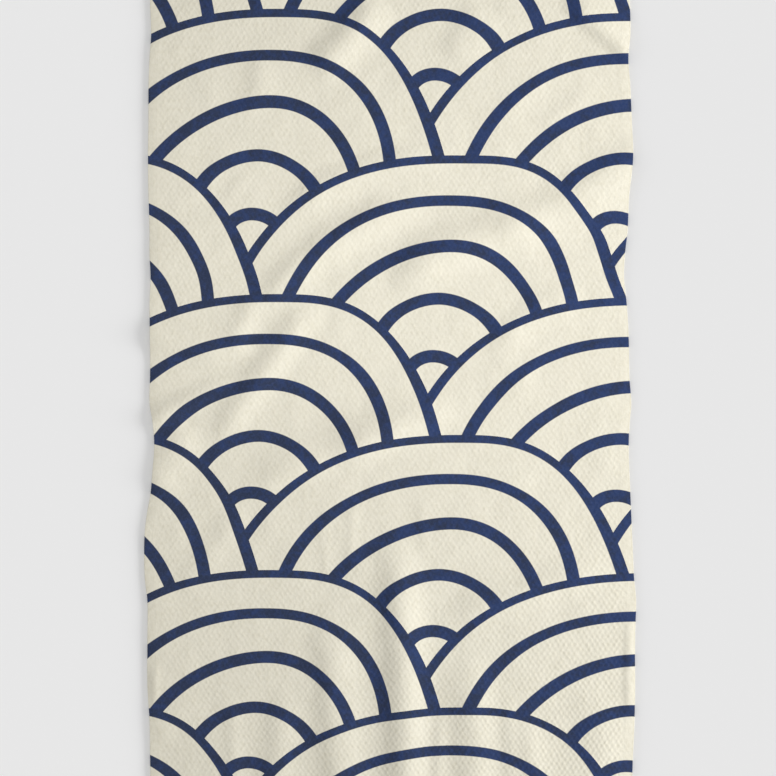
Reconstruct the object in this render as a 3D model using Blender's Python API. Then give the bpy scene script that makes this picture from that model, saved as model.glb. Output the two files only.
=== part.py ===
"""A cotton kitchen towel lying open on a table.

One woven cloth with a narrow turned hem on all four edges. It lies face up
with soft creases, so parts of it stand a few millimetres clear of the table.

X runs across the towel, Y along it and Z up from the table.
The tables below are in millimetres. The mesh is in metres.
"""
from bisect import bisect_right
from collections import namedtuple
import math

import bmesh
import bpy

MM = 0.001

# Size of the cloth laid out flat
WIDTH = 457.0
LENGTH = 762.0

# Thickness from the outer edge inwards, as distance from the edge and thickness
HEM_WIDTH = 9.0
HEM_SECTION = [
    (0.0, 1.8),
    (0.9, 2.0),
    (4.5, 2.3),
    (HEM_WIDTH, 1.5),
    (12.0, 1.4),
]
EDGE_ROUND = 0.9

# Number of strips the cloth between the hems is divided into
STRIPS_ACROSS = 40
STRIPS_ALONG = 70

# Shape of the two long edges. Along is the distance up from the middle,
# left and right are the distances out from the centre line.
Edge = namedtuple("Edge", "along left right")
LONG_EDGES = [
    Edge(-381, 226, 229.5),
    Edge(-350, 226.5, 230.5),
    Edge(-316, 227, 232),
    Edge(-282, 229, 232.5),
    Edge(-237, 229, 232.5),
    Edge(-203, 229, 233.5),
    Edge(-180, 231.5, 231.5),
    Edge(-146, 232, 230),
    Edge(-123, 230, 229),
    Edge(-100, 226, 228),
    Edge(-78, 224, 227),
    Edge(-55, 222.5, 226.5),
    Edge(-32, 224, 227.5),
    Edge(-15, 227, 229),
    Edge(13, 226.5, 227),
    Edge(47, 226.5, 226.5),
    Edge(81, 227, 224.5),
    Edge(104, 226, 222),
    Edge(127, 227, 223),
    Edge(150, 227, 225.5),
    Edge(184, 228, 227),
    Edge(218, 228.5, 230.5),
    Edge(252, 228, 229.5),
    Edge(286, 228, 228),
    Edge(314, 227, 226),
    Edge(337, 225.5, 228),
    Edge(366, 226.5, 227.5),
    Edge(381, 226.5, 225.5),
]

# Shape of the two short edges. Across is the distance right of the middle,
# bottom and top are how far each edge runs in from its full length.
End = namedtuple("End", "across bottom top")
SHORT_EDGES = [
    End(-230, 1.0, 2.0),
    End(-120, 2.5, 0.5),
    End(0, 0.0, 1.5),
    End(80, 1.5, 2.5),
    End(150, 0.5, 0.5),
    End(230, 2.0, 1.5),
]

# Creases of the cloth. Each is a soft ridge from its start to its end.
# Bow is how far the middle of the ridge swings to the left of that line,
# right_side and left_side are how wide it is on either side of its crest.
Fold = namedtuple("Fold", "start_x start_y end_x end_y bow height right_side left_side")
FOLDS = {
    "top left crease": Fold(-80, 290, 2, 374, 0, 4.0, 19, 17),
    "top left dimple": Fold(-131, 256, -119, 320, 0, 1.5, 16, 14),
    "top middle crease": Fold(56, 301, 90, 371, 0, 2.1, 26, 17),
    "top right crease": Fold(158, 373, 246, 300, 0, 3.3, 9, 19),
    "upper sweep": Fold(-123, 146, 83, 220, 25, 2.4, 19, 12),
    "middle sweep": Fold(-136, 56, 58, 182, 25, 3.6, 18, 15),
    "lower sweep": Fold(-8, 94, 158, 158, 12, 4.4, 21, 23),
    "right shoulder": Fold(96, 136, 270, 241, -2, 3.2, 28, 19),
    "left diagonal": Fold(-175, -70, -55, 100, 3, 3.0, 15, 16),
    "left diagonal spur": Fold(-150, 25, -125, 100, 0, 2.0, 13, 15),
    "left swell": Fold(-280, 60, -125, 35, -5, 3.5, 13, 20),
    "left ridge": Fold(-290, -70, -130, 15, 3, 2.8, 9, 12),
    "left edge ridge": Fold(-235, -105, -190, -25, -5, 2.5, 20, 20),
    "centre crease": Fold(-60, -63, 72, -11, 0, 2.7, 18, 19),
    "centre sweep": Fold(-153, -104, 63, -24, 6, 3.0, 16, 28),
    "right sweep": Fold(91, 15, 199, 89, 22, 1.9, 20, 15),
    "lower right sweep": Fold(46, -220, 220, -166, 0, 2.6, 15, 19),
    "bottom middle fold": Fold(13, -460, 3, -112, -5, 4.6, 20, 19),
    "bottom left fold": Fold(-41, -460, -61, -184, 0, 3.2, 24, 18),
    "bottom far left fold": Fold(-119, -460, -97, -270, 0, 2.3, 17, 16),
    "bottom right fold": Fold(83, -460, 75, -236, 0, 2.9, 21, 23),
    "bottom right dimple": Fold(139, -460, 129, -290, 0, 1.7, 13, 14),
    "bottom far right fold": Fold(182, -460, 204, -274, 0, 1.9, 28, 25),
    "left low crease": Fold(-204, -202, -130, -106, 0, 1.5, 16, 18),
}
FOLD_FADE = 0.3

# Where the ridges run out the cloth settles flat on the table
SETTLE_SOFT = 0.5
SETTLE_DROP = 0.06

COTTON_COLOUR = (0.775, 0.735, 0.617, 1.0)
COTTON_ROUGHNESS = 0.92


def clamp(value):
    """Hold a value between nought and one."""
    return max(0.0, min(1.0, value))


def ease(value):
    """Go from nought to one with a soft start and a soft end."""
    value = clamp(value)
    return value * value * (3.0 - 2.0 * value)


def table_value(rows, key, place):
    """Read a column of a table at any place, on a smooth curve through its rows."""
    places = [row[0] for row in rows]
    values = [getattr(row, key) for row in rows]
    last = len(rows) - 1
    upper = min(max(bisect_right(places, place), 1), last)
    lower = upper - 1

    def slope(index):
        before, after = max(index - 1, 0), min(index + 1, last)
        return (values[after] - values[before]) / (places[after] - places[before])

    gap = places[upper] - places[lower]
    part = clamp((place - places[lower]) / gap)
    rest = 1.0 - part
    return (
        values[lower] * rest * rest * (1.0 + 2.0 * part)
        + values[upper] * part * part * (1.0 + 2.0 * rest)
        + slope(lower) * gap * part * rest * rest
        - slope(upper) * gap * part * part * rest
    )


def thickness(distance):
    """Thickness of the cloth at a distance in from its nearest edge."""
    for (near, near_thick), (far, far_thick) in zip(HEM_SECTION, HEM_SECTION[1:]):
        if distance <= far:
            part = clamp((distance - near) / (far - near))
            return near_thick + (far_thick - near_thick) * part
    return HEM_SECTION[-1][1]


def fold_height(fold, x, y):
    """Height that one ridge adds at a point."""
    run_x = fold.end_x - fold.start_x
    run_y = fold.end_y - fold.start_y
    run = math.hypot(run_x, run_y)
    from_x = x - fold.start_x
    from_y = y - fold.start_y
    along = (from_x * run_x + from_y * run_y) / (run * run)
    if along <= 0.0 or along >= 1.0:
        return 0.0
    to_left = (run_x * from_y - run_y * from_x) / run
    to_left -= 4.0 * fold.bow * along * (1.0 - along)
    side = fold.left_side if to_left > 0.0 else fold.right_side
    fade = ease(along / FOLD_FADE) * ease((1.0 - along) / FOLD_FADE)
    return fold.height * fade * math.exp(-((to_left / side) ** 2))


def rise(x, y):
    """Height of the underside of the cloth above the table."""
    total = sum(fold_height(fold, x, y) for fold in FOLDS.values())
    settled = math.hypot(total, SETTLE_SOFT) - SETTLE_SOFT - SETTLE_DROP
    return max(settled, 0.0)


def lie(across, along):
    """Where a point of the flat cloth comes to lie, seen from above."""
    side = "right" if across > 0.0 else "left"
    x = across * table_value(LONG_EDGES, side, along) / (WIDTH / 2.0)
    end = "top" if along > 0.0 else "bottom"
    y = along * (1.0 - table_value(SHORT_EDGES, end, across) / (LENGTH / 2.0))
    return x, y


def stations(size, strips):
    """Distances from the middle at which the cloth is divided."""
    half = size / 2.0
    hem = [half - distance for distance, _ in HEM_SECTION[1:4]]
    inner = half - HEM_WIDTH
    step = 2.0 * inner / strips
    middle = [-inner + step * index for index in range(1, strips)]
    return [-place for place in hem] + middle + hem[::-1]


def sheet_mesh():
    """Build the closed sheet from its underside, its face and its rim."""
    columns = stations(WIDTH, STRIPS_ACROSS)
    rows = stations(LENGTH, STRIPS_ALONG)
    mesh = bmesh.new()

    def point(across, along, lift):
        x, y = lie(across, along)
        return mesh.verts.new((x * MM, y * MM, (rise(x, y) + lift) * MM))

    under = []
    face = []
    for along in rows:
        end_distance = LENGTH / 2.0 - abs(along)
        under_row = []
        face_row = []
        for across in columns:
            side_distance = WIDTH / 2.0 - abs(across)
            thick = thickness(min(side_distance, end_distance))
            under_row.append(point(across, along, 0.0))
            face_row.append(point(across, along, thick))
        under.append(under_row)
        face.append(face_row)

    last_row = len(rows) - 1
    last_column = len(columns) - 1
    for row in range(last_row):
        for column in range(last_column):
            a, b = (row, column), (row, column + 1)
            c, d = (row + 1, column + 1), (row + 1, column)
            mesh.faces.new([face[r][k] for r, k in (a, b, c, d)])
            mesh.faces.new([under[r][k] for r, k in (d, c, b, a)])

    # The rim runs anticlockwise round the cloth, seen from above
    ring = [(0, k) for k in range(last_column)]
    ring += [(r, last_column) for r in range(last_row)]
    ring += [(last_row, k) for k in range(last_column, 0, -1)]
    ring += [(r, 0) for r in range(last_row, 0, -1)]
    rim = []
    for row, column in ring:
        across, along = columns[column], rows[row]
        if column in (0, last_column):
            across += math.copysign(EDGE_ROUND, across)
        if row in (0, last_row):
            along += math.copysign(EDGE_ROUND, along)
        rim.append(point(across, along, HEM_SECTION[0][1] / 2.0))
    for index, (row, column) in enumerate(ring):
        after = (index + 1) % len(ring)
        next_row, next_column = ring[after]
        mesh.faces.new([under[row][column], under[next_row][next_column],
                        rim[after], rim[index]])
        mesh.faces.new([rim[index], rim[after],
                        face[next_row][next_column], face[row][column]])
    return mesh


def centre_on_origin(mesh):
    """Move the sheet so that it stands on z nought with its box centred."""
    for axis in (0, 1):
        places = [vert.co[axis] for vert in mesh.verts]
        middle = (max(places) + min(places)) / 2.0
        for vert in mesh.verts:
            vert.co[axis] -= middle
    lowest = min(vert.co.z for vert in mesh.verts)
    for vert in mesh.verts:
        vert.co.z -= lowest


def cotton_material():
    """Plain unbleached cotton."""
    material = bpy.data.materials.new("cream_cotton")
    material.use_nodes = True
    shader = material.node_tree.nodes["Principled BSDF"]
    shader.inputs["Base Color"].default_value = COTTON_COLOUR
    shader.inputs["Roughness"].default_value = COTTON_ROUGHNESS
    material.diffuse_color = COTTON_COLOUR
    return material


def clear_scene():
    """Start from an empty scene."""
    for thing in list(bpy.data.objects):
        bpy.data.objects.remove(thing, do_unlink=True)


def main():
    clear_scene()
    mesh = sheet_mesh()
    centre_on_origin(mesh)
    bmesh.ops.triangulate(mesh, faces=mesh.faces[:])
    data = bpy.data.meshes.new("towel")
    mesh.to_mesh(data)
    mesh.free()
    data.materials.append(cotton_material())
    towel = bpy.data.objects.new("towel", data)
    bpy.context.scene.collection.objects.link(towel)


main()
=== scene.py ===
from collections import namedtuple
import math

import bpy
import numpy as np
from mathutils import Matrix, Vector


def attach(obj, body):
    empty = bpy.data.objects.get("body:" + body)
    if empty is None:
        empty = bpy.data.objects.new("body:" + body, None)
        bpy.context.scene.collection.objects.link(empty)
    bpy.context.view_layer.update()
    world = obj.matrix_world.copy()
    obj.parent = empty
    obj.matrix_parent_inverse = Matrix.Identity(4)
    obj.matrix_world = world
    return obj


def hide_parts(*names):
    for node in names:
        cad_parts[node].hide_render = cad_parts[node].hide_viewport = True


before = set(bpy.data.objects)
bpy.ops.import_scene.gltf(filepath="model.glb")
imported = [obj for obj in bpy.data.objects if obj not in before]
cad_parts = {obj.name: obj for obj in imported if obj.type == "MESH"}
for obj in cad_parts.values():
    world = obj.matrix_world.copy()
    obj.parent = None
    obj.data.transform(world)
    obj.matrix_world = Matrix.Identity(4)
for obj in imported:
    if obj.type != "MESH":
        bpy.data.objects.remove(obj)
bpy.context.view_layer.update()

MM = 0.001
PHOTO_PIXELS = 776
MM_PER_PIXEL = 0.947

# Shape of the cloth

WIDTH = 457.0
LENGTH = 762.0
HEM_WIDTH = 9.0
# A place this far past the hem still counts as part of it
HEM_SLACK = 0.1

# The face of the cloth, as distance from the edge and its height above the
# surface at the left and the right edge: a rolled edge, which is rounder on
# the left, the plump hem and the stitch groove, then the weave.
Hem = namedtuple("Hem", "distance left right")
HEM_FACE = [
    Hem(0.1, 1.67, 1.88),
    Hem(0.25, 1.69, 1.90),
    Hem(0.9, 1.74, 1.92),
    Hem(2.0, 1.82, 1.95),
    Hem(3.2, 1.88, 1.98),
    Hem(4.8, 1.94, 2.01),
    Hem(6.8, 1.99, 2.03),
    Hem(HEM_WIDTH, 2.03, 2.05),
    Hem(10.2, 2.02, 2.02),
    Hem(11.4, 2.01, 2.01),
    Hem(13.0, 2.02, 2.02),
]
# Further in, both sides are alike
BODY_FACE = [(30.0, 1.95), (50.0, 1.68), (75.0, 1.5)]
# Height of the underside: the rolled edge curves up from the surface, and the
# single cloth stands above the turned hem
UNDERSIDE = [
    (0.1, 0.60),
    (0.25, 0.36),
    (0.9, 0.04),
    (2.0, 0.0),
    (HEM_WIDTH, 0.0),
    (10.4, 0.50),
    (30.0, 0.45),
    (50.0, 0.18),
    (75.0, 0.0),
]
# Height of the outermost line of the rolled edge
EDGE_HEIGHT = 1.3
# How much thicker the hem is where two sides of it cross
CORNER_BULK = 0.5
# Inside the hem the cloth is divided into strips of about this width
STRIP = 3.0

# How far the long edges stand from the middle at places along the towel
Edge = namedtuple("Edge", "along left right")
LONG_EDGES = [
    Edge(-381, 226, 229.5),
    Edge(-350, 226.5, 230.5),
    Edge(-316, 227, 232),
    Edge(-282, 229, 232.5),
    Edge(-237, 229, 232.5),
    Edge(-203, 229, 233.5),
    Edge(-180, 231.5, 231.5),
    Edge(-146, 232, 230),
    Edge(-123, 230, 229),
    Edge(-100, 226, 228),
    Edge(-78, 224, 227),
    Edge(-55, 222.5, 226.5),
    Edge(-32, 224, 227.5),
    Edge(-15, 227, 229),
    Edge(13, 226.5, 227),
    Edge(47, 226.5, 226.5),
    Edge(81, 227, 224.5),
    Edge(104, 226, 222),
    Edge(127, 227, 223),
    Edge(150, 227, 225.5),
    Edge(184, 228, 227),
    Edge(218, 228.5, 230.5),
    Edge(252, 228, 229.5),
    Edge(286, 228, 228),
    Edge(314, 227, 226),
    Edge(337, 225.5, 228),
    Edge(366, 226.5, 227.5),
    Edge(381, 226.5, 225.5),
]

# How far the two ends draw in from the towel's full length
End = namedtuple("End", "across bottom top")
SHORT_EDGES = [
    End(-230, 1.0, 2.0),
    End(-120, 2.5, 0.5),
    End(0, 0.0, 1.5),
    End(80, 1.5, 2.5),
    End(150, 0.5, 0.5),
    End(230, 2.0, 1.5),
]

# Each fold is a soft ridge from its start to its end. Bow is how far its
# middle swings to the left of that line. The last two are the widths of its
# slopes on either side of the crest.
Fold = namedtuple("Fold", "start_x start_y end_x end_y bow height right_side left_side")
FOLDS = {
    "top left crease": Fold(-80, 290, 2, 374, 0, 4.0, 19, 17),
    "top left dimple": Fold(-131, 256, -119, 320, 0, 1.5, 16, 14),
    "top middle crease": Fold(56, 301, 90, 371, 0, 2.1, 26, 17),
    "top right crease": Fold(158, 373, 246, 300, 0, 3.3, 9, 19),
    "upper sweep": Fold(-123, 146, 83, 220, 25, 2.4, 19, 12),
    "middle sweep": Fold(-136, 56, 58, 182, 25, 3.6, 18, 15),
    "lower sweep": Fold(-8, 94, 158, 158, 12, 4.4, 21, 23),
    "right shoulder": Fold(96, 136, 270, 241, -2, 3.2, 28, 19),
    "left diagonal": Fold(-175, -70, -55, 100, 3, 3.0, 15, 16),
    "left diagonal spur": Fold(-150, 25, -125, 100, 0, 2.0, 13, 15),
    "left swell": Fold(-280, 60, -125, 35, -5, 3.5, 13, 20),
    "left ridge": Fold(-290, -70, -130, 15, 3, 2.8, 9, 12),
    "left edge ridge": Fold(-235, -105, -190, -25, -5, 2.5, 20, 20),
    "centre crease": Fold(-60, -63, 72, -11, 0, 2.7, 18, 19),
    "centre sweep": Fold(-153, -104, 63, -24, 6, 3.0, 16, 28),
    "right sweep": Fold(91, 15, 199, 89, 22, 1.9, 20, 15),
    "lower right sweep": Fold(46, -220, 220, -166, 0, 2.6, 15, 19),
    "bottom middle fold": Fold(13, -460, 3, -112, -5, 4.6, 20, 19),
    "bottom left fold": Fold(-41, -460, -61, -184, 0, 3.2, 24, 18),
    "bottom far left fold": Fold(-119, -460, -97, -270, 0, 2.3, 17, 16),
    "bottom right fold": Fold(83, -460, 75, -236, 0, 2.9, 21, 23),
    "bottom right dimple": Fold(139, -460, 129, -290, 0, 1.7, 13, 14),
    "bottom far right fold": Fold(182, -460, 204, -274, 0, 1.9, 28, 25),
    "left low crease": Fold(-204, -202, -130, -106, 0, 1.5, 16, 18),
}
# Smaller creases that are in the face of this cloth and not in the solid
FINE_FOLDS = {
    "low left streak": Fold(-33, -96, -39, -180, 0, 0.5, 5, 6),
    "low left thin streak": Fold(-64, -104, -58, -196, 0, 0.4, 5, 5),
    "low right streak": Fold(28, -98, 34, -170, 0, 0.4, 5, 6),
    "bottom left pleat": Fold(-150, -290, -146, -400, 0, 0.7, 7, 8),
    "bottom middle pleat": Fold(48, -300, 44, -420, 0, 0.9, 6, 7),
    "bottom right pleat": Fold(112, -280, 116, -400, 0, 0.6, 7, 7),
    "upper left ripple": Fold(-196, 170, -150, 226, 0, 0.5, 6, 7),
    "upper left second ripple": Fold(-176, 150, -128, 210, 0, 0.4, 6, 7),
    "upper right ripple": Fold(96, 246, 160, 300, 4, 0.6, 8, 8),
    "upper right second ripple": Fold(138, 240, 196, 282, 2, 0.5, 7, 8),
    "middle right ripple": Fold(108, -20, 150, 44, 0, 0.5, 8, 9),
    "right hem roll": Fold(226, -325, 227, -205, 0, 0.8, 7, 4.5),
    "left hem roll": Fold(-222, -310, -221, -255, 0, 0.5, 4, 5),
}
# The share of its length over which a fold rises at its start and at its end
FOLD_FADE = 0.3
# Low slopes settle onto the surface: how softly they leave it, and how far the
# folds sink
SETTLE_SOFT = 0.5
SETTLE_DROP = 0.06

# Loose unevenness of the cloth, as the size of the dents and their depth. They
# lie on a field that is wider and longer than the towel, with some dents to
# spare at its far sides.
DENTS = [(46.0, 0.50), (21.0, 0.46), (11.0, 0.26)]
DENT_SEED = 12
DENT_FIELD_WIDTH = 600.0
DENT_FIELD_LENGTH = 900.0
SPARE_DENTS = 4

# The map of the flat cloth, and the mark of what the print is on
FLAT_MAP = "FlatCloth"
PRINTED_SIDE = "printed_side"
# The map for baking has one island for each side of the cloth. Both have this
# width on the map and stand this far from its edge.
ISLAND_WIDTH = 0.48
ISLAND_MARGIN = 0.01

# The print

# Rows of overlapping arches. Every second row is set sideways by the stagger,
# and each row lies over the one above it.
PRINT_TILT = 0.008
PRINT_ASIDE = 0.9
ARCH_PITCH = 345.5
ROW_PITCH = 133.0
FIRST_CROWN_ACROSS = -101.0
FIRST_CROWN_ALONG = 354.3
STAGGER = 173.5
# The rows draw closer together down the towel
ROW_PULL = 0.9695
ROW_SQUEEZE = 5.64e-5
# How softly the ink ends, to either side of a line's outline
PRINT_BLEED = 0.35
# Where the print drifts sideways. Side is one for the right half and minus one
# for the left. The drift grows by the slope from this far out from the middle,
# to the right where the slope is above nought and to the left where it is
# below. It fades in below the top and out above the bottom.
Drift = namedtuple("Drift", "side start slope top bottom fade")
DRIFTS = [
    Drift(-1.0, 60.0, -0.022, 520.0, 310.0, 30.0),
    Drift(1.0, 60.0, 0.018, 520.0, 310.0, 30.0),
    Drift(1.0, 60.0, 0.028, 175.0, 40.0, 35.0),
    Drift(1.0, 120.0, 0.020, 60.0, -230.0, 30.0),
    Drift(-1.0, 60.0, 0.022, -85.0, -350.0, 40.0),
    Drift(1.0, 50.0, 0.065, -230.0, -520.0, 120.0),
]

# One row for each arch of a nest, from the outside in. Drop and shift place
# its crown. The reach, the depth and the power shape each of its sides, and a
# greater power makes a squarer shoulder. The last three are the width of the
# line at the crown and at its two feet.
Arch = namedtuple("Arch", """drop shift left right left_depth right_depth
    left_power right_power crown_line left_foot right_foot""")
ARCHES = [
    Arch(0, 0, 248, 170, 285, 435, 2.5, 2.8, 8.0, 9.5, 12.0),
    Arch(39, -15, 170, 115, 170, 125, 2.2, 2.4, 10.0, 12.0, 12.0),
    Arch(82, -14, 142, 85, 138, 105, 1.9, 2.1, 12.0, 12.0, 12.0),
    Arch(132, -26, 62, 65, 52, 65, 1.9, 1.9, 11.5, 13.0, 13.0),
    Arch(187, -32, 25, 30, 22, 26, 2.0, 2.0, 12.0, 12.0, 12.0),
]
# The line changes from its crown's width to its foot's between these shares of
# the arch's reach
FOOT_STARTS = 0.5
FOOT_IS_FULL = 0.85

# The weave

# Cells and threads have their pitch and how far they stand out
WAFFLE_ACROSS = 5.2
WAFFLE_ALONG = 8.0
WAFFLE_DEPTH = 0.039
THREAD_PITCH = 1.05
THREAD_DEPTH = 0.010
THREAD_WANDER = 3.0
# Warp threads show on the cells and weft threads between them, and they change
# over within this much of a cell's height to either side of its middle
THREAD_CHANGE = 0.3
# Cells are this plump. They differ by patches, are plumper towards the bottom
# right, by the square of the metres beyond the diagonal, and flatter in the
# middle and on the hem. No two of them are quite alike. The middle is full to
# one distance along the towel and ends at the other.
CELL_PLUMP = 1.05
CELL_PLUMP_PATCHES = 0.8
CELL_PLUMP_BOTTOM_RIGHT = 4.5
CELL_FLATTER_MIDDLE = 0.17
CELL_FLATTER_HEM = 0.75
CELL_UNLIKE = 2.4
MIDDLE_ENDS = 180.0
MIDDLE_IS_FULL = 60.0

# The hem

# How far in from the hem the cells are back at full strength, and how far
# inside it they are at their weakest
HEM_FADE_IN = 6.0
HEM_FADE_OUT = 1.0
# The turned edge is painted darker: painted shade, as where the edge meets the
# surface. The painted shade is full near the outermost line, ends further in,
# and grows towards the right by so much a millimetre.
PAINTED_EDGE_SHADE_FULL = 0.3
PAINTED_EDGE_SHADE_ENDS = 2.2
PAINTED_EDGE_SHADE = 0.5
PAINTED_EDGE_SHADE_RIGHTWARD = 0.0022
# A line of stitches with a gap after each. Across the line a stitch is full to
# one distance and has faded out at the other. Along it, a wave from minus one
# to one makes a stitch above one level and leaves a gap below the other.
STITCH_LINE = 8.3
STITCH_PITCH = 3.2
STITCH_HEIGHT = 0.03
STITCH_FULL = 0.1
STITCH_FADED = 0.45
STITCH_ABOVE = 0.1
GAP_BELOW = -0.75

# The colours

CREAM = (0.766, 0.730, 0.613)
CREAM_SHADED = (0.711, 0.673, 0.549)
NAVY = (0.0268, 0.0378, 0.077)
NAVY_FRESH_AND_LIT = (0.0215, 0.0425, 0.128)
NAVY_WORN = (0.045, 0.064, 0.140)
UNPRINTED = (0.800, 0.775, 0.690)
SHOW_THROUGH = 0.16

# Kinds of unevenness in the cloth, from the broadest to the finest. A noise's
# scale is by the millimetre.
Noise = namedtuple("Noise", "scale detail roughness")
UNEVENNESS = {
    "patches": Noise(0.022, 2.0, 0.5),
    "mottle": Noise(0.03, 3.0, 0.5),
    "wander": Noise(0.045, 2.0, 0.5),
    "sway": Noise(0.09, 1.0, 0.5),
    "grain": Noise(0.24, 2.0, 0.5),
    "slub": Noise(0.60, 3.0, 0.7),
}
# Recipes say how much of each part goes into the shade of the cream, the wear
# of the ink, the freshness of its dye with the painted light on it, the relief in
# millimetres and the roughness. The starts are the shares that are always there.
# In the shade of the cream the plump cells are painted shade: darker in the
# hollows between the cells and lighter on their tops.
SHADE_START = 0.25
SHADE = {"plump cell": -0.15, "slub": 1.0, "grain": 2.4, "sway": 0.5, "mottle": 0.9}
WEAR_START = 0.22
WEAR = {"cell": 0.08, "thread": 0.06, "slub": 1.6, "grain": 0.6, "sway": 0.45,
        "mottle": 0.4}
# The dye took unevenly in patches. The ink is also painted lighter and bluer
# towards the right, as painted light where more light falls, and it is a little
# bluer towards the top.
DYE_AND_PAINTED_LIGHT_START = 0.40
DYE_AND_PAINTED_LIGHT = {"across": 0.0015, "along": 0.0003, "mottle": 2.2, "sway": 2.2, "grain": 2.2}
RELIEF = {"plump cell": WAFFLE_DEPTH, "thread": THREAD_DEPTH, "slub": 0.06,
          "grain": 0.27, "stitch": STITCH_HEIGHT}
ROUGHNESS_START = 0.90
ROUGHNESS = {"slub": 0.10}
INK_SMOOTHNESS = 0.06
SHINE = 0.12

# Floor, light and camera

FLOOR_GREY = 0.90
FLOOR_REACH = 6.0
FLOOR_GAP = 0.0002
SKY_STRENGTH = 0.42
# Suns by their share of the light on a flat surface, their height, side and
# softness in degrees, and the piece that they light
Sun = namedtuple("Sun", "name share height side softness lights")
SUNS = [
    Sun("key_light", 0.225, 32.5, -24.0, 20.0, "towel"),
    Sun("high_light", 0.215, 90.0, 0.0, 10.0, "floor"),
    Sun("low_light", 0.22, 15.0, -6.0, 26.0, "floor"),
    Sun("far_light", 0.035, 18.0, 175.0, 25.0, "floor"),
]
# Lamps that light the towel alone, with their power in watts and the point that
# each is turned to
Lamp = namedtuple("Lamp", "name power place target size")
LAMPS = [
    Lamp("upper_side_light", 11.5, (1.3, 0.42, 0.45), (0.0, 0.2, 0.0), 0.4),
    Lamp("lower_side_light", 9.5, (1.3, -0.52, 0.45), (0.0, -0.2, 0.0), 0.4),
    Lamp("top_light", 0.21, (-0.05, 0.10, 0.35), (-0.05, 0.10, 0.0), 0.2),
]
CAMERA_LENS = 110.0
CAMERA_SENSOR = 36.0
CAMERA_ASIDE = -2.0


# Heights and places on the cloth


def ease(value):
    """Go from nought to one with a soft start and a soft end."""
    value = np.clip(value, 0.0, 1.0)
    return value * value * (3.0 - 2.0 * value)


def table_curve(rows, key, place):
    """Read a column of a table at any place, on a smooth curve through its rows."""
    places = np.array([row[0] for row in rows], float)
    values = np.array([getattr(row, key) for row in rows], float)
    slopes = np.empty_like(values)
    slopes[1:-1] = (values[2:] - values[:-2]) / (places[2:] - places[:-2])
    slopes[0] = (values[1] - values[0]) / (places[1] - places[0])
    slopes[-1] = (values[-1] - values[-2]) / (places[-1] - places[-2])
    low = np.clip(np.searchsorted(places, place, side="right") - 1, 0, len(rows) - 2)
    gap = places[low + 1] - places[low]
    part = np.clip((place - places[low]) / gap, 0.0, 1.0)
    rest = 1.0 - part
    return (
        values[low] * rest * rest * (1.0 + 2.0 * part)
        + values[low + 1] * part * part * (1.0 + 2.0 * rest)
        + slopes[low] * gap * part * rest * rest
        - slopes[low + 1] * gap * part * part * rest
    )


def profile(rows, distance):
    """Read a two-column table with straight lines between its rows."""
    return np.interp(distance, [row[0] for row in rows], [row[1] for row in rows])


def face_height(across, distance):
    """Height of the face over the folds, by its distance from the edge."""
    left = profile([(row.distance, row.left) for row in HEM_FACE] + BODY_FACE, distance)
    right = profile([(row.distance, row.right) for row in HEM_FACE] + BODY_FACE, distance)
    return left + (right - left) * ease(across / WIDTH + 0.5)


def ridges(folds, x, y):
    """Add up the soft ridges of a table of folds."""
    total = np.zeros_like(x)
    for fold in folds.values():
        run_x = fold.end_x - fold.start_x
        run_y = fold.end_y - fold.start_y
        run = math.hypot(run_x, run_y)
        from_x = x - fold.start_x
        from_y = y - fold.start_y
        along = (from_x * run_x + from_y * run_y) / (run * run)
        inside = np.clip(along, 0.0, 1.0)
        to_left = (run_x * from_y - run_y * from_x) / run
        to_left = to_left - 4.0 * fold.bow * inside * (1.0 - inside)
        side = np.where(to_left > 0.0, fold.left_side, fold.right_side)
        fade = ease(along / FOLD_FADE) * ease((1.0 - along) / FOLD_FADE)
        total += fold.height * fade * np.exp(-((to_left / side) ** 2))
    return total


def fold_heights(x, y):
    """Height of the folds above the surface, from all of them together."""
    total = ridges(FOLDS, x, y)
    settled = np.hypot(total, SETTLE_SOFT) - SETTLE_SOFT - SETTLE_DROP
    return np.maximum(settled, 0.0)


def dent_heights(x, y):
    """Small random unevenness, the same on every run."""
    total = np.zeros_like(x)
    random = np.random.default_rng(DENT_SEED)
    for size, depth in DENTS:
        columns = int(DENT_FIELD_WIDTH / size) + SPARE_DENTS
        rows = int(DENT_FIELD_LENGTH / size) + SPARE_DENTS
        heights = random.random((rows, columns))
        place_x = (x + DENT_FIELD_WIDTH / 2.0) / size
        place_y = (y + DENT_FIELD_LENGTH / 2.0) / size
        column = np.floor(place_x).astype(int)
        row = np.floor(place_y).astype(int)
        part_x = ease(place_x - column)
        part_y = ease(place_y - row)
        lower = heights[row, column] * (1 - part_x) + heights[row, column + 1] * part_x
        upper = heights[row + 1, column] * (1 - part_x) + heights[row + 1, column + 1] * part_x
        total += depth * (lower * (1 - part_y) + upper * part_y)
    return total


def lie(across, along):
    """Where points of the flat cloth come to lie, seen from above."""
    side_left = table_curve(LONG_EDGES, "left", along)
    side_right = table_curve(LONG_EDGES, "right", along)
    x = across * np.where(across > 0.0, side_right, side_left) / (WIDTH / 2.0)
    end_top = table_curve(SHORT_EDGES, "top", across)
    end_bottom = table_curve(SHORT_EDGES, "bottom", across)
    y = along * (1.0 - np.where(along > 0.0, end_top, end_bottom) / (LENGTH / 2.0))
    return x, y


# The mesh of the cloth


def stations(size):
    """Places from edge to edge at which the cloth is divided."""
    half = size / 2.0
    hem = [half - row.distance for row in HEM_FACE]
    inner = hem[-1]
    strips = int(round(2.0 * inner / STRIP))
    middle = np.linspace(-inner, inner, strips + 1)[1:-1]
    return np.concatenate([-np.array(hem), middle, np.array(hem)[::-1]])


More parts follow.
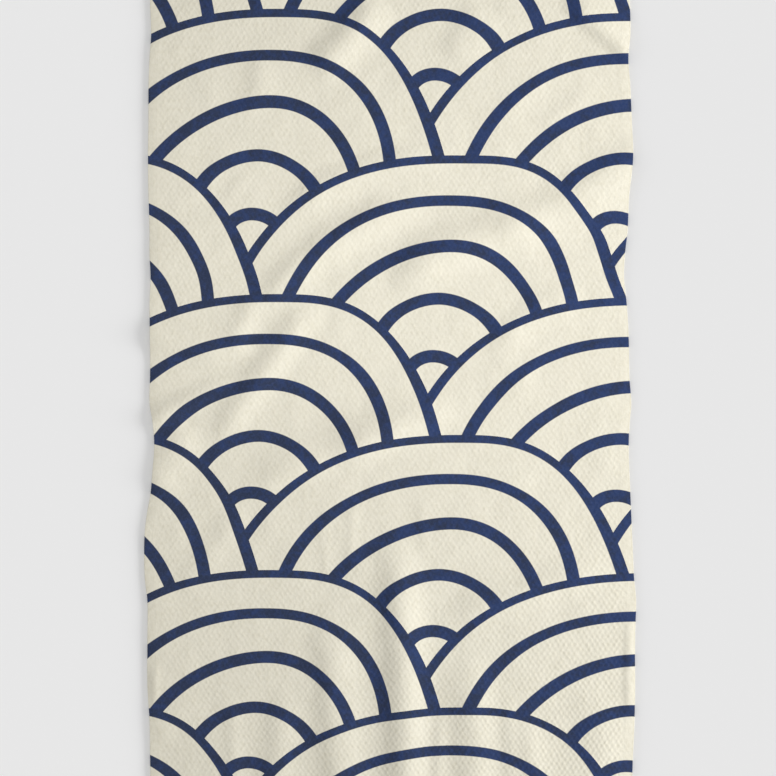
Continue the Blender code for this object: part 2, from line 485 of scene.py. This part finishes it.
def edge_ring(columns, rows):
    """The outermost line of the grid, once around, and the edge beside each place."""
    last_row, last_column = len(rows) - 1, len(columns) - 1
    ring = [(0, column) for column in range(last_column)]
    ring += [(row, last_column) for row in range(last_row)]
    ring += [(last_row, column) for column in range(last_column, 0, -1)]
    ring += [(row, 0) for row in range(last_row, 0, -1)]
    edge_across, edge_along = columns.copy(), rows.copy()
    edge_across[[0, -1]] = [-WIDTH / 2.0, WIDTH / 2.0]
    edge_along[[0, -1]] = [-LENGTH / 2.0, LENGTH / 2.0]
    return ring, [(edge_across[column], edge_along[row]) for row, column in ring]


def edge_distance(across, along):
    """Distance from the nearest edge, and a share that is one at a corner's tip."""
    from_side = WIDTH / 2.0 - np.abs(across)
    from_end = LENGTH / 2.0 - np.abs(along)
    distance = np.minimum(from_side, from_end)
    corner = ease(1.0 - np.maximum(from_side, from_end) / HEM_WIDTH)
    return distance, corner


def cloth_points(across, along, edge):
    """Points of the face, then of the underside, then of the rolled edge."""
    distance, corner = edge_distance(across, along)
    x, y = lie(across, along)
    base = fold_heights(x, y)
    dents = dent_heights(x, y) + ridges(FINE_FOLDS, x, y)
    under_z = base + profile(UNDERSIDE, distance)
    face_z = base + dents + face_height(across, distance) + CORNER_BULK * corner
    edge_x, edge_y = lie(*np.array(edge).T)
    edge_z = fold_heights(edge_x, edge_y) + EDGE_HEIGHT
    points = np.concatenate([
        np.stack([x.ravel(), y.ravel(), face_z.ravel()], 1),
        np.stack([x.ravel(), y.ravel(), under_z.ravel()], 1),
        np.stack([edge_x, edge_y, edge_z], 1),
    ])
    # The cloth is centred and stands on the surface
    low, high = points.min(0), points.max(0)
    return points - [(low[0] + high[0]) / 2, (low[1] + high[1]) / 2, low[2]]


# The numbers of a mesh face's four points, their places on the flat cloth,
# whether it is on the underside, and whether the print is on it
Face = namedtuple("Face", "points flat underneath printed")


def turned_under(places, size):
    """Carry the flat cloth on past the edge where the hem is turned under."""
    in_hem = np.abs(places) > size / 2 - HEM_WIDTH - HEM_SLACK
    return np.where(in_hem, np.sign(places) * (size - np.abs(places)), places)


def sheet_faces(across, along):
    """The faces of the cloth's upper side and underside."""
    row_count, column_count = across.shape
    distance, _ = edge_distance(across, along)
    turned_across = turned_under(across, WIDTH)
    turned_along = turned_under(along, LENGTH)
    faces = []
    for row in range(row_count - 1):
        for column in range(column_count - 1):
            corners = [(row, column), (row, column + 1), (row + 1, column + 1), (row + 1, column)]
            above = [r * column_count + c for r, c in corners]
            flat = [(across[corner], along[corner]) for corner in corners]
            faces.append(Face(above, flat, False, True))
            hem = max(distance[corner] for corner in corners) <= HEM_WIDTH + HEM_SLACK
            if hem:
                flat = [(turned_across[corner], turned_along[corner]) for corner in corners]
            below = [number + across.size for number in above]
            faces.append(Face(below[::-1], flat[::-1], True, hem))
    return faces


def edge_faces(across, along, ring, edge):
    """The faces of the rolled edge, which closes the cloth all around."""
    column_count = across.shape[1]
    faces = []
    for index, here in enumerate(ring):
        after = (index + 1) % len(ring)
        there = ring[after]
        above_here = here[0] * column_count + here[1]
        above_there = there[0] * column_count + there[1]
        below_here = above_here + across.size
        below_there = above_there + across.size
        middle_here = 2 * across.size + index
        middle_there = 2 * across.size + after
        flat_here = (across[here], along[here])
        flat_there = (across[there], along[there])
        edge_here, edge_there = edge[index], edge[after]
        past_here = (2 * edge_here[0] - flat_here[0], 2 * edge_here[1] - flat_here[1])
        past_there = (2 * edge_there[0] - flat_there[0], 2 * edge_there[1] - flat_there[1])
        faces.append(Face([below_here, below_there, middle_there, middle_here],
                          [past_here, past_there, edge_there, edge_here], True, True))
        faces.append(Face([middle_here, middle_there, above_there, above_here],
                          [edge_here, edge_there, flat_there, flat_here], False, True))
    return faces


def add_maps(mesh, faces, points):
    """Add the map of the flat cloth, the map for baking and the printed side."""
    flat = np.array([face.flat for face in faces]).reshape(-1, 2)
    cloth_map = mesh.uv_layers.new(name=FLAT_MAP)
    cloth_map.data.foreach_set("uv", (flat * MM).ravel())

    # Two islands side by side, the face on the left and the underside on the right
    vertices = np.empty(len(mesh.loops), dtype=np.int64)
    mesh.loops.foreach_get("vertex_index", vertices)
    low, high = points.min(0)[:2], points.max(0)[:2]
    scale = ISLAND_WIDTH / (high[0] - low[0])
    island = ISLAND_MARGIN + (points[vertices][:, :2] - low) * scale
    underneath = np.repeat([face.underneath for face in faces], 4)
    island[underneath, 0] = 1.0 - island[underneath, 0]
    bake_map = mesh.uv_layers.new(name="OFBake")
    bake_map.data.foreach_set("uv", island.ravel())

    printed = np.repeat([float(face.printed) for face in faces], 4)
    side = mesh.attributes.new(PRINTED_SIDE, "FLOAT", "CORNER")
    side.data.foreach_set("value", printed)


def build_cloth():
    """Make the closed cloth: its face, its underside and its rolled edge."""
    columns = stations(WIDTH)
    rows = stations(LENGTH)
    across, along = np.meshgrid(columns, rows)
    ring, edge = edge_ring(columns, rows)
    points = cloth_points(across, along, edge)
    faces = sheet_faces(across, along) + edge_faces(across, along, ring, edge)
    mesh = bpy.data.meshes.new("towel_cloth")
    mesh.from_pydata((points * MM).tolist(), [], [face.points for face in faces])
    mesh.polygons.foreach_set("use_smooth", [True] * len(faces))
    add_maps(mesh, faces, points)
    mesh.update()
    return mesh


# Node helpers


class Number:
    """A number in a node tree that is worked on like a plain number."""

    def __init__(self, tree, socket):
        self.tree = tree
        self.socket = socket

    def work(self, operation, *others):
        node = self.tree.nodes.new("ShaderNodeMath")
        node.operation = operation
        for place, value in enumerate((self,) + others):
            if isinstance(value, Number):
                self.tree.links.new(value.socket, node.inputs[place])
            else:
                node.inputs[place].default_value = value
        return Number(self.tree, node.outputs[0])

    def __add__(self, other):
        return self.work("ADD", other)

    def __sub__(self, other):
        return self.work("SUBTRACT", other)

    def __mul__(self, other):
        return self.work("MULTIPLY", other)

    def __truediv__(self, other):
        return self.work("DIVIDE", other)

    def __pow__(self, other):
        return self.work("POWER", other)

    def size(self):
        return self.work("ABSOLUTE")

    def floor(self):
        return self.work("FLOOR")

    def below(self, other):
        return self.work("LESS_THAN", other)

    def at_least(self, other):
        return self.work("MAXIMUM", other)

    def at_most(self, other):
        return self.work("MINIMUM", other)

    def as_share(self):
        return self.at_least(0.0).at_most(1.0)

    def wave(self, pitch):
        return (self * (2.0 * math.pi / pitch)).work("COSINE")

    def soft_step(self, low, high):
        node = self.tree.nodes.new("ShaderNodeMapRange")
        node.interpolation_type = "SMOOTHSTEP"
        self.tree.links.new(self.socket, node.inputs["Value"])
        node.inputs["From Min"].default_value = low
        node.inputs["From Max"].default_value = high
        return Number(self.tree, node.outputs["Result"])


def choose(pick, chosen, other):
    """Take the first number where pick is one, and the second where it is nought."""
    return other + pick * (chosen - other)


def blend(parts, recipe):
    """Add up the parts that a recipe names, each by its own amount."""
    total = None
    for name, amount in recipe.items():
        part = parts[name] * amount
        total = part if total is None else total + part
    return total


def new_group(name, inputs, outputs):
    """Start a node group with named number inputs and outputs."""
    tree = bpy.data.node_groups.new(name, "ShaderNodeTree")
    for label in inputs:
        tree.interface.new_socket(label, in_out="INPUT", socket_type="NodeSocketFloat")
    for label in outputs:
        tree.interface.new_socket(label, in_out="OUTPUT", socket_type="NodeSocketFloat")
    start = tree.nodes.new("NodeGroupInput")
    end = tree.nodes.new("NodeGroupOutput")
    values = [Number(tree, start.outputs[label]) for label in inputs]
    return tree, values, end


def put_out(tree, end, **values):
    """Lead each value to the output of its name."""
    for label, value in values.items():
        tree.links.new(value.socket, end.inputs[label.capitalize()])


def use_group(tree, group, **values):
    """Place a node group and return its outputs by name."""
    node = tree.nodes.new("ShaderNodeGroup")
    node.node_tree = group
    for label, value in values.items():
        socket = node.inputs[label.replace("_", " ").capitalize()]
        if isinstance(value, Number):
            tree.links.new(value.socket, socket)
        else:
            socket.default_value = value
    return {output.name: Number(tree, output) for output in node.outputs}


def noise(tree, place, kind):
    """Noise over the cloth, from half below nought to half above it."""
    node = tree.nodes.new("ShaderNodeTexNoise")
    tree.links.new(place, node.inputs["Vector"])
    node.inputs["Scale"].default_value = kind.scale
    node.inputs["Detail"].default_value = kind.detail
    node.inputs["Roughness"].default_value = kind.roughness
    return Number(tree, node.outputs["Fac"]) - 0.5


def mix_colour(tree, factor, first, second):
    """Blend two colours, given as plain colours or as sockets."""
    node = tree.nodes.new("ShaderNodeMix")
    node.data_type = "RGBA"
    tree.links.new(factor.socket, node.inputs["Factor"])
    for label, colour in (("A", first), ("B", second)):
        socket = [s for s in node.inputs if s.name == label and s.type == "RGBA"][0]
        if isinstance(colour, tuple):
            socket.default_value = colour + (1.0,)
        else:
            tree.links.new(colour, socket)
    return [s for s in node.outputs if s.type == "RGBA"][0]


# Node groups


def arch_line_group():
    """The inked line of one arch, and how far a point is past the line's outer side."""
    labels = ["Across", "Drop", "Left", "Right", "Left depth", "Right depth",
              "Left power", "Right power", "Crown line", "Left foot", "Right foot"]
    tree, values, end = new_group("arch_line", labels, ["Ink", "Past"])
    across, drop, left, right, left_depth, right_depth = values[:6]
    left_power, right_power, crown_line, left_foot, right_foot = values[6:]
    on_left = across.below(0.0)
    reach = choose(on_left, left, right)
    depth = choose(on_left, left_depth, right_depth)
    power = choose(on_left, left_power, right_power)
    foot_line = choose(on_left, left_foot, right_foot)
    out = across.size() / reach
    up = ((depth - drop) / depth).at_least(0.0)
    ring = (out ** power + up ** power) ** (power ** -1.0)
    # How fast the ring grows from one millimetre to the next
    steeper = power - 1.0
    growth_out = (out / ring) ** steeper / reach
    growth_up = (up / ring) ** steeper / depth
    outside = (ring - 1.0) / (growth_out * growth_out + growth_up * growth_up) ** 0.5
    near_foot = out.soft_step(FOOT_STARTS, FOOT_IS_FULL)
    half_line = choose(near_foot, foot_line, crown_line) * 0.5
    ink = (outside.size() - half_line).soft_step(PRINT_BLEED, -PRINT_BLEED)
    put_out(tree, end, ink=ink, past=outside - half_line)
    return tree


def draw_arch(tree, line, arch, sideways, drop):
    """Place the line of one arch of the table."""
    return use_group(
        tree, line, across=sideways - arch.shift, drop=drop - arch.drop,
        left=arch.left, right=arch.right, left_depth=arch.left_depth,
        right_depth=arch.right_depth, left_power=arch.left_power,
        right_power=arch.right_power, crown_line=arch.crown_line,
        left_foot=arch.left_foot, right_foot=arch.right_foot,
    )


def print_drifts(across, along):
    """How far to the right each drift has carried the print here."""
    drifts = []
    for drift in DRIFTS:
        inside = (along.soft_step(drift.top, drift.top - drift.fade)
                  * along.soft_step(drift.bottom, drift.bottom + drift.fade))
        beyond = (across * drift.side - drift.start).at_least(0.0)
        drifts.append(beyond * inside * drift.slope)
    return drifts


def arch_print_group(line):
    """Rows of nested arches, each row lying over the row above it."""
    tree, (across, along), end = new_group("arch_print", ["Across", "Along"], ["Ink"])
    across, along = (across - along * PRINT_TILT - PRINT_ASIDE,
                     along + across * PRINT_TILT)
    for drift in print_drifts(across, along):
        across = across - drift
    down = along * -1.0 + FIRST_CROWN_ALONG
    down = down * (down * ROW_SQUEEZE + ROW_PULL)
    row = ((down + ARCHES[0].crown_line / 2.0) / ROW_PITCH).floor()

    # The four nests of arches that may lie here, from the topmost to the lowest.
    # Each has a cover, which is one from its outer line inwards.
    places = []
    for back in (0, 1):
        this_row = row - back
        drop = down - this_row * ROW_PITCH
        odd = this_row.work("FLOORED_MODULO", 2.0)
        from_first = across - (odd * STAGGER + FIRST_CROWN_ACROSS)
        nest = (from_first / ARCH_PITCH).floor()
        for beside in (0, 1):
            sideways = from_first - (nest + beside) * ARCH_PITCH
            outer = draw_arch(tree, line, ARCHES[0], sideways, drop)
            places.append((outer["Past"].below(-PRINT_BLEED), sideways, drop))
    places.reverse()
    _, sideways, drop = places[0]
    for covers, next_sideways, next_drop in places[1:]:
        sideways = choose(covers, next_sideways, sideways)
        drop = choose(covers, next_drop, drop)
    ink = None
    for arch in ARCHES:
        one = draw_arch(tree, line, arch, sideways, drop)["Ink"]
        ink = one if ink is None else ink.at_least(one)
    put_out(tree, end, ink=ink)
    return tree


def waffle_weave_group():
    """Staggered waffle cells and the threads they are woven from."""
    tree, (across, along), end = new_group("waffle_weave", ["Across", "Along"],
                                           ["Cell", "Thread"])
    cell = across.wave(WAFFLE_ACROSS) * along.wave(WAFFLE_ALONG)
    warp = across.wave(THREAD_PITCH)
    weft = along.wave(THREAD_PITCH)
    on_cell = cell.soft_step(-THREAD_CHANGE, THREAD_CHANGE)
    put_out(tree, end, cell=cell, thread=choose(on_cell, warp, weft))
    return tree


def hem_group():
    """The double cloth of the hem, its line of stitches and the painted shade along its turned
    edge.
    """
    tree, (across, along), end = new_group("hem_stitching_and_edge_shade", ["Across", "Along"],
                                           ["Hem", "Stitch", "Edge"])
    from_side = (across.size() * -1.0 + WIDTH / 2.0).size()
    from_end = (along.size() * -1.0 + LENGTH / 2.0).size()
    distance = from_side.at_most(from_end)
    hem = distance.soft_step(HEM_WIDTH + HEM_FADE_IN, HEM_WIDTH - HEM_FADE_OUT)
    run = choose(from_side.below(from_end), along, across)
    on_stitch = run.wave(STITCH_PITCH).soft_step(GAP_BELOW, STITCH_ABOVE)
    on_line = (distance - STITCH_LINE).size().soft_step(STITCH_FADED, STITCH_FULL)
    # Painted shade along the turned edge, full at the outermost line
    edge = distance.soft_step(PAINTED_EDGE_SHADE_ENDS, PAINTED_EDGE_SHADE_FULL)
    put_out(tree, end, hem=hem, stitch=on_stitch * on_line, edge=edge)
    return tree


# The material of the towel


def place_on_cloth(tree):
    """The place on the flat cloth in millimetres, as a vector and as two numbers."""
    flat = tree.nodes.new("ShaderNodeUVMap")
    flat.uv_map = FLAT_MAP
    in_mm = tree.nodes.new("ShaderNodeVectorMath")
    in_mm.operation = "SCALE"
    in_mm.inputs["Scale"].default_value = 1.0 / MM
    tree.links.new(flat.outputs["UV"], in_mm.inputs[0])
    split = tree.nodes.new("ShaderNodeSeparateXYZ")
    tree.links.new(in_mm.outputs[0], split.inputs[0])
    across = Number(tree, split.outputs["X"])
    along = Number(tree, split.outputs["Y"])
    return in_mm.outputs[0], across, along


def cell_plumpness(parts, hem):
    """How far the waffle cells stand out here."""
    lean = (parts["across"] - parts["along"]).at_least(0.0) * MM
    middle = parts["along"].size().soft_step(MIDDLE_ENDS, MIDDLE_IS_FULL)
    plump = (lean * lean * CELL_PLUMP_BOTTOM_RIGHT + parts["patches"] * CELL_PLUMP_PATCHES
             - middle * CELL_FLATTER_MIDDLE + CELL_PLUMP)
    unlike = (parts["grain"] * CELL_UNLIKE + 1.0).at_least(0.0)
    return (hem * -CELL_FLATTER_HEM + 1.0) * plump * unlike


def cotton_colour(tree, parts, ink, edge):
    """Cream cloth with navy ink on the printed side, and bare cloth on the back."""
    # Painted shade along the turned edge, stronger towards the right
    painted_edge_shade = edge * (parts["across"] * PAINTED_EDGE_SHADE_RIGHTWARD + PAINTED_EDGE_SHADE)
    # Painted shade in the hollows between the plump cells, with patches of tone
    shade = (blend(parts, SHADE) + SHADE_START + painted_edge_shade).as_share()
    wear = (blend(parts, WEAR) + WEAR_START).as_share()
    # Painted light: the ink is lighter and bluer towards the right
    dye_and_light = (blend(parts, DYE_AND_PAINTED_LIGHT) + DYE_AND_PAINTED_LIGHT_START).as_share()
    cream = mix_colour(tree, shade, CREAM, CREAM_SHADED)
    dyed_and_lit = mix_colour(tree, dye_and_light, NAVY, NAVY_FRESH_AND_LIT)
    navy = mix_colour(tree, wear, dyed_and_lit, NAVY_WORN)
    face = mix_colour(tree, ink, cream, navy)
    bare = mix_colour(tree, shade, UNPRINTED, CREAM)
    back = mix_colour(tree, ink * SHOW_THROUGH, bare, NAVY)
    return mix_colour(tree, parts["printed"], back, face)


def cotton_material():
    """Printed waffle cotton."""
    material = bpy.data.materials.new("printed_cotton")
    material.use_nodes = True
    tree = material.node_tree
    shader = tree.nodes["Principled BSDF"]

    arch_print = arch_print_group(arch_line_group())
    weave = waffle_weave_group()
    hem_stitching_and_edge_shade = hem_group()

    # The parts that the recipes name
    place, across, along = place_on_cloth(tree)
    parts = {name: noise(tree, place, kind) for name, kind in UNEVENNESS.items()}
    parts["across"] = across
    parts["along"] = along
    side = tree.nodes.new("ShaderNodeAttribute")
    side.attribute_name = PRINTED_SIDE
    parts["printed"] = Number(tree, side.outputs["Fac"])
    # The threads wander a little
    woven = use_group(tree, weave, across=across + parts["wander"] * THREAD_WANDER,
                      along=along + parts["sway"] * THREAD_WANDER)
    hemmed = use_group(tree, hem_stitching_and_edge_shade, across=across, along=along)
    parts["cell"] = woven["Cell"]
    parts["thread"] = woven["Thread"]
    parts["stitch"] = hemmed["Stitch"]
    parts["plump cell"] = woven["Cell"] * cell_plumpness(parts, hemmed["Hem"])

    ink = use_group(tree, arch_print, across=across, along=along)["Ink"]
    # Edge is the painted shade along the turned edge
    tree.links.new(cotton_colour(tree, parts, ink, hemmed["Edge"]),
                   shader.inputs["Base Color"])
    rough = blend(parts, ROUGHNESS) + ROUGHNESS_START - ink * parts["printed"] * INK_SMOOTHNESS
    tree.links.new(rough.socket, shader.inputs["Roughness"])
    bump = tree.nodes.new("ShaderNodeBump")
    bump.inputs["Strength"].default_value = 1.0
    bump.inputs["Distance"].default_value = MM
    tree.links.new(blend(parts, RELIEF).socket, bump.inputs["Height"])
    tree.links.new(bump.outputs["Normal"], shader.inputs["Normal"])
    shader.inputs["Specular IOR Level"].default_value = SHINE
    return material


# The scene


def add_towel():
    """The towel itself, in place of the plain solid."""
    towel = bpy.data.objects.new("tea_towel", build_cloth())
    bpy.context.scene.collection.objects.link(towel)
    towel.data.materials.append(cotton_material())
    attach(towel, "root")
    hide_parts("towel")
    return towel


def add_floor():
    """A plain pale surface under the towel."""
    mesh = bpy.data.meshes.new("floor")
    corners = [(-1, -1), (1, -1), (1, 1), (-1, 1)]
    mesh.from_pydata([(x * FLOOR_REACH, y * FLOOR_REACH, 0) for x, y in corners], [],
                     [(0, 1, 2, 3)])
    floor = bpy.data.objects.new("floor", mesh)
    bpy.context.scene.collection.objects.link(floor)
    floor.location.z = -FLOOR_GAP
    material = bpy.data.materials.new("pale_paper")
    material.use_nodes = True
    shader = material.node_tree.nodes["Principled BSDF"]
    shader.inputs["Base Color"].default_value = (FLOOR_GREY, FLOOR_GREY, FLOOR_GREY, 1.0)
    shader.inputs["Roughness"].default_value = 1.0
    shader.inputs["Specular IOR Level"].default_value = 0.0
    mesh.materials.append(material)
    return floor


def add_lamp(name, kind, place, target):
    """Add a lamp at a place, turned towards a target."""
    light = bpy.data.lights.new(name, kind)
    lamp = bpy.data.objects.new(name, light)
    bpy.context.scene.collection.objects.link(lamp)
    lamp.location = place
    lamp.rotation_mode = "QUATERNION"
    lamp.rotation_quaternion = (Vector(place) - Vector(target)).to_track_quat("Z", "Y")
    return lamp


def add_sun(sun):
    """Add a sun that gives a flat surface its share of light."""
    height, side = math.radians(sun.height), math.radians(sun.side)
    towards = (math.cos(height) * math.cos(side), math.cos(height) * math.sin(side),
               math.sin(height))
    lamp = add_lamp(sun.name, "SUN", towards, (0.0, 0.0, 0.0))
    lamp.data.energy = sun.share * math.pi / math.sin(height)
    lamp.data.angle = math.radians(sun.softness)
    return lamp


def light_only(lamp, receiver):
    """Keep a lamp from lighting anything but one object."""
    only = bpy.data.collections.new(lamp.name + "_receives")
    only.objects.link(receiver)
    lamp.light_linking.receiver_collection = only


def add_light(towel, floor):
    """An even sky and soft light from the right."""
    for sun in SUNS:
        light = add_sun(sun)
        light_only(light, towel if sun.lights == "towel" else floor)
        if sun.lights == "towel":
            light.data.cycles.max_bounces = 0
    for lamp in LAMPS:
        light = add_lamp(lamp.name, "AREA", lamp.place, lamp.target)
        light.data.energy = lamp.power
        light.data.size = lamp.size
        light.data.cycles.max_bounces = 0
        light_only(light, towel)
    world = bpy.data.worlds.new("sky")
    bpy.context.scene.world = world
    world.use_nodes = True
    sky = world.node_tree.nodes["Background"]
    sky.inputs["Color"].default_value = (1.0, 1.0, 1.0, 1.0)
    sky.inputs["Strength"].default_value = SKY_STRENGTH


def add_camera():
    """Straight above the towel, as it was photographed."""
    data = bpy.data.cameras.new("camera")
    data.lens = CAMERA_LENS
    data.sensor_width = CAMERA_SENSOR
    camera = bpy.data.objects.new("camera", data)
    bpy.context.scene.collection.objects.link(camera)
    across = PHOTO_PIXELS * MM_PER_PIXEL * MM
    camera.location = (CAMERA_ASIDE * MM, 0.0, across * CAMERA_LENS / CAMERA_SENSOR)
    bpy.context.scene.camera = camera


add_camera()
floor = add_floor()
towel = add_towel()
add_light(towel, floor)
bpy.context.scene.view_settings.view_transform = "Standard"
bpy.context.scene.view_settings.look = "None"
